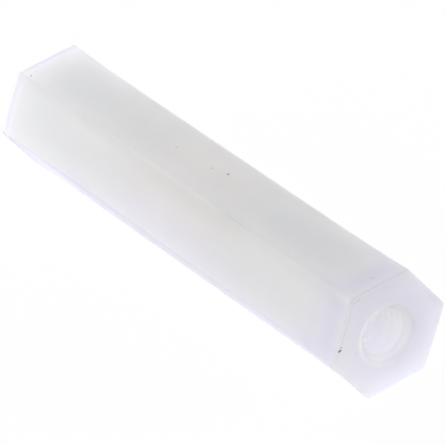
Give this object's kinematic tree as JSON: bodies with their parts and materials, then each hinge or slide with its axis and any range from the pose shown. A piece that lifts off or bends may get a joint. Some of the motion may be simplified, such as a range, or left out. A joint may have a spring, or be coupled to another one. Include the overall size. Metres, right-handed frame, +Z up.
{
  "type": "hex standoff",
  "caption": "Hexagonal plastic spacer with a threaded blind hole in each end, for holding a board or panel at a set height.",
  "frame": {"origin": "under the middle of the bar, on the flat that it lies on", "axes": "+X along the bar and out of one of its two like ends, +Z up from the flat that it lies on, +Y to the left of +X, towards a long edge"},
  "size_m": [0.03, 0.0068, 0.006],
  "materials": {
    "natural_nylon": "milky translucent, satin as moulded"
  },
  "bodies": {
    "root": {"hex_standoff": "natural_nylon"}
  },
  "joints": []
}
